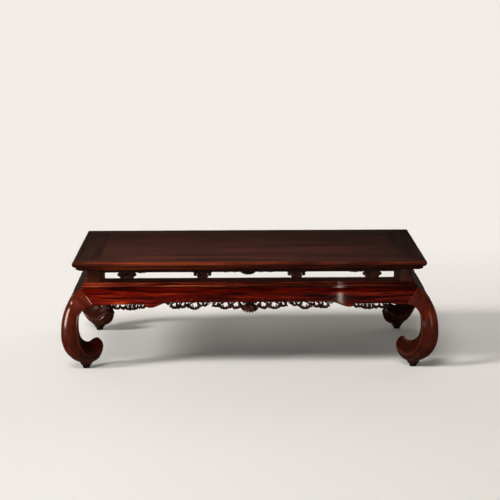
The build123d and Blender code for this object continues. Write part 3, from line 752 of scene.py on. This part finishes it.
def openwork(span):
    """Scrolls, leaves and rosette of one apron, flat, before they are laid on the bulge."""
    shape = bmesh.new()
    paths = []
    for way in (-1, 1):
        for along, drop, *size in group_rows(span, CENTRE_SCROLLS, LEG_SCROLLS, SIDE_SCROLLS):
            scroll(shape, paths, (way * along, fret_line(span, along) - drop), size, way)
        for along, drop in group_rows(span, CENTRE_LEAVES, LEG_LEAVES, SIDE_LEAVES):
            centre = (way * along, fret_line(span, along) - drop)
            for turn in (-90, -35, -145):
                spot = around(centre, FILL_SPREAD, FILL_SPREAD, turn)
                petal(shape, *spot, *FILL_LEAF, BAR_DEPTH, turn, 0.2)
    for middle in scroll_groups(span):
        for way in (-1, 1):
            for away, drop, angle in END_LEAVES:
                along = middle + way * away
                spot = (along, fret_line(span, along) - drop)
                petal(shape, *spot, *END_LEAF, BAR_DEPTH * 0.7, angle * way, 0.6 * way)
    bars(shape, paths, BAR, BAR_DEPTH)
    rosette(shape)
    bmesh.ops.translate(shape, vec=(0, 0, -OPENWORK_DROP), verts=shape.verts)
    return shape


def carved_band(span):
    """Low running leaves along the lower part of the face, above the openwork."""
    shape = bmesh.new()
    count = int((0.278 if span == TOP_LENGTH else 0.15) / BAND_WAVE)
    stem = []
    for i in range(-count * 6, count * 6 + 1):
        stem.append((i * BAND_WAVE / 6, BAND_LEVEL + 0.0020 * math.sin(math.pi * i / 6)))
    bars(shape, [stem], 0.0018, 0.0030)
    for i in range(-count, count):
        up = 1 if i % 2 else -1
        along = (i + 0.5) * BAND_WAVE
        petal(shape, along, BAND_LEVEL - up * 0.0016, 0.0075, 0.0040, 0.0044, 35 * up, 0.4)
        petal(shape, along + 0.0045, BAND_LEVEL + up * 0.0034, 0.0042, 0.0036, 0.0040, 0)
        petal(shape, along - 0.0040, BAND_LEVEL - up * 0.0046, 0.0040, 0.0034, 0.0036, 0)
    return shape


def edge_bead(span):
    """Bead along the plain parts of the lower edge."""
    shape = bmesh.new()
    end = span / 2 - MITRE_FOOT_INSET
    low = end - SWELL_FROM_MITRE
    stretches = [(end - PLAIN_FROM_MITRE, end + 0.002, 16)]
    if span == TOP_LENGTH:
        stretches.append((low - SWELL_INNER, low + SWELL_OUTER * 0.97, 40))
    paths = []
    for way in (-1, 1):
        for start, stop, steps in stretches:
            places = [start + (stop - start) * i / steps for i in range(steps + 1)]
            paths.append([(way * p, apron_edge(span, p) + BEAD_RISE) for p in places])
    bars(shape, paths, BEAD, BEAD)
    return shape


def mitre_bead(span):
    """Fine proud line along both slanting joints, which carries the painted highlight of its finish.
    """
    shape = bmesh.new()
    heights = [MITRE_BEAD_FOOT + MITRE_BEAD_LENGTH * i / 8 for i in range(9)]
    slants = []
    for way in (-1, 1):
        slants.append([(way * (span / 2 - mitre(z) - MITRE_BEAD / 2), z) for z in heights])
    bars(shape, slants, MITRE_BEAD, MITRE_BEAD)
    return shape


def laid(parts, reach):
    """One shape from flat parts, each laid on the bulging face and sunk by its own measure."""
    whole = bmesh.new()
    for flat, sink in parts:
        lay_on_drum(flat, reach, sink)
        merge(whole, flat)
    return whole


def apron(side):
    """The board with its beads, the openwork under it, and the lines along its mitres."""
    span, reach, _ = SIDES[side]
    board = laid([(edge_bead(span), 0.0012), (carved_band(span), 0.0002)], reach)
    bridged(board, [apron_outline(span, reach, along) for along in apron_stations(span)])
    turn_to(board, side)
    keep(f"bulging_apron_{side}", board, apron_wood[grain_of(side)], "apron", f"apron_{side}")
    carving = laid([(openwork(span), OPENWORK_SINK)], reach)
    turn_to(carving, side)
    keep(f"apron_carving_{side}", carving, carved_wood, "apron")
    line = laid([(mitre_bead(span), 0.0)], reach)
    turn_to(line, side)
    keep(f"mitre_bead_{side}", line, mitre_highlight_wood, "apron")


for side in SIDES:
    apron(side)


# ---- Legs: shoulder, knee and curled foot swept along the diagonal ----
SHOULDER_HEIGHTS = (0.2757, 0.2735, 0.270, 0.265, 0.259, 0.253, 0.247, 0.241, 0.236, 0.232)
# Inset and height of the inner line, from the mitre's foot down to the knee
INNER_LINE = [
    (0.0663, 0.2256), (0.0610, 0.2250), (0.0545, 0.2236), (0.0485, 0.2214), (0.0440, 0.2190),
    (0.0378, 0.2142), (0.0318, 0.2082), (0.0272, 0.2016), (0.0235, 0.1950), (0.0206, 0.1865),
    (0.0190, 0.1770), (0.0182, 0.1650), (0.0180, 0.1520), (0.0183, 0.1440),
]
# Sections of the foot, in millimetres: outer inset and height, inner inset and height, half width,
# share of the way to the rim, depth of the hollow, fullness of the faces
FOOT = [
    (-39.0, 137, 18.6, 137, 40.3, 0.50, 0.0, 0.6),
    (-38.9, 124, 19.8, 127, 41.0, 0.49, 0.4, 0.8),
    (-38.0, 112, 22, 117, 41.5, 0.48, 1.0, 1.0),
    (-36.0, 100, 25, 109.5, 41.9, 0.465, 1.8, 1.3),
    (-33.0, 88, 29, 103, 42.0, 0.45, 2.6, 1.7),
    (-28.6, 75, 33, 98.3, 42.0, 0.43, 3.4, 2.2),
    (-23.0, 63, 37, 95, 42.0, 0.41, 4.2, 2.8),
    (-16.3, 51.5, 41.6, 92, 41.7, 0.395, 5.0, 3.4),
    (-8.0, 41, 46, 90.5, 41.0, 0.38, 5.6, 4.1),
    (1.2, 30.6, 50, 90.6, 40.7, 0.375, 6.0, 4.8),
    (12.0, 21, 53.5, 92, 40.0, 0.38, 6.2, 5.4),
    (25.5, 13.3, 57.9, 94.6, 38.3, 0.395, 6.0, 6.0),
    (40.0, 10, 62, 97, 36.2, 0.415, 5.6, 6.6),
    (52.0, 10.4, 66, 98.6, 34.6, 0.44, 4.8, 7.2),
    (62.0, 13.5, 70, 99.2, 32.4, 0.465, 3.8, 7.6),
    (70.0, 19, 74, 99, 30.0, 0.49, 2.6, 7.4),
    (76.0, 26, 77.6, 98, 27.0, 0.52, 0.2, 6.8),
    (80.6, 33.5, 80.8, 96, 23.2, 0.545, -1.6, 5.8),
    (83.8, 41, 83.2, 93.2, 19.2, 0.565, -2.8, 4.6),
    (85.8, 47, 85.2, 90, 15.4, 0.58, -3.3, 3.6),
    (87.0, 53, 86.5, 86.4, 11.6, 0.59, -3.0, 2.8),
    (87.8, 59, 87.4, 82, 7.8, 0.60, -2.1, 1.8),
    (88.1, 65, 87.9, 77.5, 4.0, 0.60, -1.0, 0.8),
]
RIM = 0.0062
RIM_REACH = 0.0019  # how far the rim's bead stands past the hollow
RIM_RISE = 0.0016
RIM_SINK = 0.0004
RIM_GROOVE = 0.0009
RIM_STEP = 0.0010
ARRIS_HANDLE = 0.56  # roundness of the outer arris
POST_SINK = 0.246


def arris_share(height):
    """Rounding of the outer arris as a share of the face: crisp at the shoulder, round below."""
    if height > 0.19:
        return 0.60 - 0.50 * min(1.0, (height - 0.19) / 0.075)
    return 0.60 if height > 0.137 else 0.46 + 0.14 * max(0.0, (height - 0.09) / 0.047)


def leg_profile(length, half_width, ridge, hollow, rim, arris, full):
    """Half of a section, from the outer arris over the rim to the inner arris: (across, inwards)."""
    outer = Vector((0, 0))
    corner = Vector((half_width + RIM_REACH * rim, ridge * length + RIM_REACH * rim))
    inner = Vector((0, length + 0.0012 * rim))
    reach = (corner - outer).length
    run = (corner - outer) / reach
    out = Vector((run.y, -run.x))
    start = run * reach * arris
    left = Vector((-start.x, start.y))
    left_handle = left + (outer - left) * ARRIS_HANDLE
    handle = start + (outer - start) * ARRIS_HANDLE
    points = []
    for i in range(8):
        share = 0.5 + 0.5 * i / 7
        rest = 1 - share
        near_left = left * rest**3 + left_handle * 3 * rest**2 * share
        points.append(near_left + handle * 3 * rest * share**2 + start * share**3)
    plain = reach * (1 - arris) - RIM - RIM_STEP
    for i in range(1, 4):
        points.append(start + run * max(plain, 0.0003) * i / 4)
    points = [p + out * full * math.sin(math.pi * min(1.0, p.length / reach)) for p in points]
    fit = min(1.0, reach / 0.02)
    base = corner - run * RIM * fit
    points.append(base - run * RIM_STEP * fit + out * full * 0.12)
    points.append(base - run * RIM_SINK * fit - out * RIM_GROOVE * rim)
    for i in range(6):
        turn = math.pi * i / 5
        lift = out * (RIM_RISE * rim * math.sin(turn) - RIM_SINK * rim)
        points.append(base + run * RIM * fit * (0.5 - 0.5 * math.cos(turn)) + lift)
    back = inner - corner
    inwards = Vector((-back.y, back.x)).normalized()
    if inwards.dot(Vector((0, length / 2)) - corner) < 0:
        inwards = -inwards
    for i in range(1, 9):
        share = i / 9
        dip = inwards * hollow * math.sin(math.pi * share) ** 0.8
        points.append(corner + back * share + dip)
    points.append(inner - back * 0.03 + inwards * 0.0002)
    return points


def leg_outline(near, near_z, far, far_z, half_width, ridge, hollow, full, rim):
    """One closed section of the front left leg, from its outer inset and height to its inner."""
    corner = Vector((-TOP_LENGTH / 2, -TOP_DEPTH / 2, 0))
    outer = corner + Vector((near, near, near_z))
    across = Vector((1, -1, 0)).normalized()
    run = corner + Vector((far, far, far_z)) - outer
    length = run.length
    run.normalize()
    half = leg_profile(length, half_width, ridge, hollow, rim, arris_share(near_z), full)
    right = [outer + across * p.x + run * p.y for p in half]
    left = [outer - across * p.x + run * p.y for p in reversed(half[1:-1])]
    return [Vector((p.x, p.y, max(p.z, PAD_HEIGHT))) for p in right + left]


def leg_outlines():
    """All sections of the leg, from the shoulder down to the tip of the foot."""
    rows = [(mitre(height), height, 0.0003, 0.0) for height in SHOULDER_HEIGHTS]
    for far, height in INNER_LINE:
        rows.append((far, height, 0.0005, min(1.0, (EDGE_FOOT + 0.0008 - height) / 0.002)))
    outlines = []
    for far, height, full, rim in rows:
        near = bulge(height)
        half_width = (far - near) / math.sqrt(2)
        outlines.append(leg_outline(near, height, far, height, half_width, 0.5, 0, full, rim))
    for near, near_z, far, far_z, half_width, ridge, hollow, full in FOOT:
        rim = min(1.0, half_width / 20)
        near, near_z, far, far_z, half_width, hollow, full = [
            size / 1000 for size in (near, near_z, far, far_z, half_width, hollow, full)
        ]
        outlines.append(leg_outline(near, near_z, far, far_z, half_width, ridge, hollow, full, rim))
    return outlines


def post(shape):
    """Square post that carries the waist up to the top."""
    corners = bmesh.ops.create_cube(shape, size=1)["verts"]
    bmesh.ops.scale(shape, vec=(POST_WIDTH, POST_WIDTH, TOP_FOOT - POST_SINK), verts=corners)
    middle = WAIST_INSET + POST_WIDTH / 2
    place = (-TOP_LENGTH / 2 + middle, -TOP_DEPTH / 2 + middle, (TOP_FOOT + POST_SINK) / 2)
    bmesh.ops.translate(shape, vec=place, verts=corners)
    edges = list({edge for corner in corners for edge in corner.link_edges})
    upright = [e for e in edges if abs(e.verts[0].co.z - e.verts[1].co.z) > POST_WIDTH]
    bmesh.ops.bevel(
        shape, geom=upright, offset=0.002, segments=3, profile=0.5, affect="EDGES", material=-1
    )


def seat(shape):
    """The foot widens from its pad into the underside of the curl."""
    rim = [(0.006, PAD_HEIGHT), (0.019, PAD_HEIGHT), (0.0215, 0.0185), (0.0245, 0.0215)]
    rim += [(0.028, 0.026), (0.028, 0.030)]
    corners = [shape.verts.new((radius, 0, height)) for radius, height in rim]
    edges = [shape.edges.new(pair) for pair in zip(corners, corners[1:])]
    bmesh.ops.spin(
        shape, geom=corners + edges, cent=(0, 0, 0), axis=(0, 0, 1), angle=2 * math.pi, steps=28,
        use_merge=True,
    )
    found = {v for v in corners if v.is_valid}
    grown = True
    while grown:
        near = {e.other_vert(v) for v in found for e in v.link_edges}
        grown = not near <= found
        found |= near
    place = (-TOP_LENGTH / 2 + PAD_INSET, -TOP_DEPTH / 2 + PAD_INSET, 0)
    bmesh.ops.translate(shape, vec=place, verts=list(found))


def leg(depth_name, side_name):
    """One leg, made for the front left corner and mirrored to its own."""
    shape = bmesh.new()
    for mark in MARKS:
        shape.verts.layers.float.new(mark)
    bridged(shape, leg_outlines())
    post(shape)
    seat(shape)
    flip_x = -1 if side_name == "right" else 1
    flip_y = -1 if depth_name == "back" else 1
    bmesh.ops.scale(shape, vec=(flip_x, flip_y, 1), verts=shape.verts)
    corner = f"{depth_name}_{side_name}"
    keep(f"curled_leg_{corner}", shape, leg_wood, "leg", f"leg_{corner}", sharp=50)


for depth_name in ("front", "back"):
    for side_name in ("left", "right"):
        leg(depth_name, side_name)


# ---- Carved struts of the waist ----
OUTER_STRUT_FROM_POST = 0.0925
INNER_STRUT_SPACING = 0.320
# Width of the body and span over the ears
OUTER_STRUT = (0.046, 0.066)
INNER_STRUT = (0.035, 0.062)
STRUT_FACE_INSET = 0.0475
STRUT_THICKNESS = 0.013
LOBE_THICKNESS = STRUT_THICKNESS * 0.8
EAR_RADIUS = 0.0065
EAR_HEIGHT = 0.0135


def struts(span):
    """Centre and sizes of every carved strut on a side."""
    outer = span / 2 - WAIST_INSET - POST_WIDTH - OUTER_STRUT_FROM_POST
    half = INNER_STRUT_SPACING / 2
    inner = [-half, half] if span == TOP_LENGTH else [0.0]
    return [(-outer, OUTER_STRUT)] + [(x, INNER_STRUT) for x in inner] + [(outer, OUTER_STRUT)]


def strut_relief(body, ear, ear_height):
    """Scrolls, leaves and a flower on a strut's face."""
    relief = bmesh.new()
    paths = []
    for way in (-1, 1):
        paths.append(spiral((way * ear, ear_height), (way * 0.0045, 0.0045), 150, 1.3, 0.3, 16))
        middle = (way * body * 0.27, -0.002)
        paths.append(spiral(middle, (way * body * 0.17, 0.0065), 60, 1.2, 0.35, 18))
        petal(relief, way * body * 0.40, 0.006, 0.010, 0.004, 0.003, 25 * way, 0.4)
        petal(relief, way * body * 0.36, -0.0075, 0.010, 0.004, 0.003, -20 * way, 0.4)
    for turn in range(30, 390, 60):
        petal(relief, *around((0, 0), 0.0045, 0.0045, turn), 0.006, 0.0042, 0.0034, turn)
    petal(relief, 0, 0, 0.0035, 0.0035, 0.0046, 0)
    bars(relief, paths, 0.0017, 0.0028)
    bmesh.ops.translate(relief, vec=(0, -STRUT_THICKNESS / 2, 0), verts=relief.verts)
    return relief


def carved_strut(side, number, place, body, ears):
    """One strut: a block with lobed ears at both ends and relief on its face."""
    middle = (OPENING_FOOT + OPENING_TOP) / 2
    shape = bmesh.new()
    corners = bmesh.ops.create_cube(shape, size=1)["verts"]
    size = (body, STRUT_THICKNESS, OPENING_TOP - OPENING_FOOT)
    bmesh.ops.scale(shape, vec=size, verts=corners)
    bmesh.ops.bevel(
        shape, geom=shape.edges[:], offset=0.0012, segments=2, profile=0.5, affect="EDGES", material=-1
    )
    ear = ears / 2 - EAR_RADIUS
    ear_height = OPENING_FOOT + EAR_HEIGHT - middle
    # Place along, place above the ear's middle, length, width and angle
    lobes = [
        (body / 2 - 0.001, -0.006, 0.008, 0.007, 60), (ear - 0.003, 0.0045, 0.0115, 0.0075, -14),
        (body / 2 - 0.001, 0.0050, 0.014, 0.0070, 0),
    ]
    if body == INNER_STRUT[0]:
        lobes.append((ear + 0.0015, 0.0070, 0.015, 0.0060, 8))
    for way in (-1, 1):
        petal(shape, way * ear, ear_height, 2 * EAR_RADIUS, 2 * EAR_RADIUS, STRUT_THICKNESS, 0)
        for along, rise, length, width, angle in lobes:
            spot = (way * along, ear_height + rise)
            petal(shape, *spot, length, width, LOBE_THICKNESS, angle * way)
    merge(shape, strut_relief(body, ear, ear_height))
    where = (place, -SIDES[side][1] + STRUT_FACE_INSET + STRUT_THICKNESS / 2, middle)
    bmesh.ops.translate(shape, vec=where, verts=shape.verts)
    turn_to(shape, side)
    name = f"{side}_{number}"
    keep(f"carved_strut_{name}", shape, strut_wood, "strut", f"waist_strut_{name}")


for side in SIDES:
    for number, (place, sizes) in enumerate(struts(SIDES[side][0]), 1):
        carved_strut(side, number, place, *sizes)


# ---- Floor ----
FLOOR_REACH = 160.0
FLOOR_PALE = paint(243, 238, 232)
FLOOR_SHADED = paint(228, 223, 217)
FLOOR_IN_VARNISH = paint(48, 43, 40)


def paper_floor():
    """A pale floor that reaches to the horizon, a little duller to the right of the table.

    It is dark to the varnish, so that it leaves no grey veil there.
    """
    shape = bmesh.new()
    bmesh.ops.create_grid(shape, x_segments=8, y_segments=8, size=FLOOR_REACH / 2)
    mesh = bpy.data.meshes.new("floor")
    shape.to_mesh(mesh)
    shape.free()
    floor = bpy.data.objects.new("floor", mesh)
    bpy.context.scene.collection.objects.link(floor)
    finish = Finish("pale_paper")
    across = finish.spread(finish.axis("X"), -0.5, 0.65, 0.0, 1.0)
    near = finish.spread(finish.axis("Y"), 0.8, 2.4, 1.0, 0.0)
    colour = finish.mixed(finish.sums("MULTIPLY", across, near), FLOOR_PALE, FLOOR_SHADED)
    finish.join(colour, finish.shader, "Base Color")
    finish.shader.inputs["Roughness"].default_value = 1.0
    finish.shader.inputs["Specular IOR Level"].default_value = 0.0
    tree = finish.tree
    dim = tree.nodes.new("ShaderNodeBsdfDiffuse")
    dim.inputs["Color"].default_value = FLOOR_IN_VARNISH
    surface = by_ray(tree, "Is Glossy Ray", finish.shader.outputs["BSDF"], dim.outputs["BSDF"])
    tree.links.new(surface, tree.nodes["Material Output"].inputs["Surface"])
    mesh.materials.append(finish.material)


paper_floor()

# ---- Lamps ----
WARM = (1, 0.76, 0.58)
STRIP_TINT = (1, 0.82, 0.72)
STRIP_WIDTH = 0.014
HOOP_AIM = Vector((0.439, -0.40, 0.26))
HOOP_RADIUS = 2.4
# Angle above the floor, length and watts of each strip; the lowest stays below the top's level,
# so that the top doesn't mirror it towards the back
HOOP_STRIPS = ((0, 0.20, 1.1), (46, 0.92, 0.40), (68, 0.92, 0.40), (90, 0.92, 0.40))


def lamp_holder(name, lamp, place, towards, shine):
    """Places a lamp that either lights the wood's colour or only shows in the varnish's shine."""
    holder = bpy.data.objects.new(name, lamp)
    bpy.context.scene.collection.objects.link(holder)
    holder.location = place
    holder.rotation_euler = (Vector(towards) - Vector(place)).to_track_quat("-Z", "Y").to_euler()
    holder.visible_diffuse = not shine
    holder.visible_glossy = shine
    holder.visible_camera = False


def far_lamp(name, across, elevation, share, spread):
    """A lamp so far off that it lights the whole floor evenly with its share of the light.

    across turns its rays from +X towards +Y, elevation is its height in degrees, spread its width.
    """
    lamp = bpy.data.lights.new(name, "SUN")
    rise, course = math.radians(elevation), math.radians(across)
    lamp.energy = math.pi * share / math.sin(rise)
    lamp.angle = math.radians(spread)
    rays = Vector((math.cos(course), math.sin(course), -math.tan(rise)))
    lamp_holder(name, lamp, -10 * rays, (0, 0, 0), shine=False)


def shine_box(name, place, aim, size, watts, tint):
    """A rectangular lamp that only shows as a highlight in the varnish."""
    lamp = bpy.data.lights.new(name, "AREA")
    lamp.shape = "RECTANGLE"
    lamp.size, lamp.size_y = size
    lamp.energy = watts
    lamp.color = tint
    lamp_holder(name, lamp, place, aim, shine=True)


def hoop_of_strips():
    """Strip lamps on a hoop about one place on the front, for an upright line of shine across it."""
    for turn, length, watts in HOOP_STRIPS:
        rise = math.radians(turn)
        place = HOOP_AIM + HOOP_RADIUS * Vector((0, -math.cos(rise), math.sin(rise)))
        size = (STRIP_WIDTH, length)
        shine_box(f"hoop_lamp_{turn}", place, HOOP_AIM, size, watts, STRIP_TINT)


far_lamp("key_lamp", 29, 28, 0.36, 16)
far_lamp("front_lamp", 72, 50, 0.33, 26)
shine_box("standing_box", (-3.9, -1.3, 1.35), (-0.3, -0.25, 0.6), (1.1, 2.4), 145, WARM)
shine_box("low_box", (3.1, -3.1, 0.9), (0.55, -0.38, 0.2), (0.3, 1.6), 9, WARM)
hoop_of_strips()

DOME_TONE = (1, 0.985, 0.965, 1)
DOME_LEVEL = 0.14
BACKDROP_GLOW = 3.1
# What rays of a kind see in place of the dome: colour and strength
DOME_SEEN = (("Is Glossy Ray", (1, 0.93, 0.88, 1), 0.03), ("Is Camera Ray", FLOOR_PALE, 1.0))


def studio_world():
    """Weak light all round and more from the low backdrop, dim in the varnish.

    Beyond the floor the camera sees the floor's own tone.
    """
    world = bpy.data.worlds.new("studio")
    bpy.context.scene.world = world
    world.cycles.sampling_method = "NONE"
    world.use_nodes = True
    tree = world.node_tree
    dome = tree.nodes["Background"]
    dome.inputs["Color"].default_value = DOME_TONE
    course = tree.nodes.new("ShaderNodeSeparateXYZ")
    place = tree.nodes.new("ShaderNodeTexCoord").outputs["Generated"]
    tree.links.new(place, course.inputs["Vector"])
    glow = tree.nodes.new("ShaderNodeMath")
    glow.operation = "MULTIPLY_ADD"
    glow.inputs[2].default_value = DOME_LEVEL
    low = ranged(tree, course.outputs["Z"], (0.5, 0.3), (0.0, 1.0))
    behind = ranged(tree, course.outputs["Y"], (0.3, 0.7), (0.0, BACKDROP_GLOW))
    tree.links.new(low, glow.inputs[0])
    tree.links.new(behind, glow.inputs[1])
    tree.links.new(glow.outputs["Value"], dome.inputs["Strength"])
    shader = dome.outputs["Background"]
    for ray, colour, strength in DOME_SEEN:
        seen = tree.nodes.new("ShaderNodeBackground")
        seen.inputs["Color"].default_value = colour
        seen.inputs["Strength"].default_value = strength
        shader = by_ray(tree, ray, shader, seen.outputs["Background"])
    tree.links.new(shader, tree.nodes["World Output"].inputs["Surface"])


studio_world()

# ---- Camera ----
EYE = (-0.05028, -6.87970, 1.40792)
YAW, PITCH, ROLL = (math.radians(a) for a in (0.457, 8.725, -0.217))
ahead = Vector((math.sin(YAW), math.cos(YAW), 0))
forward = ahead * math.cos(PITCH) - Vector((0, 0, math.sin(PITCH)))
level = Vector((math.cos(YAW), -math.sin(YAW), 0))
upright = level.cross(forward)
right = level * math.cos(ROLL) + upright * math.sin(ROLL)
above = upright * math.cos(ROLL) - level * math.sin(ROLL)
lens = bpy.data.cameras.new("camera")
lens.sensor_width = 36
lens.lens = 140.46
lens.clip_end = 200
camera = bpy.data.objects.new("camera", lens)
bpy.context.scene.collection.objects.link(camera)
turned = Matrix((right, above, -forward)).transposed()
camera.matrix_world = Matrix.Translation(EYE) @ turned.to_4x4()
bpy.context.scene.camera = camera
bpy.context.scene.view_settings.view_transform = "Standard"
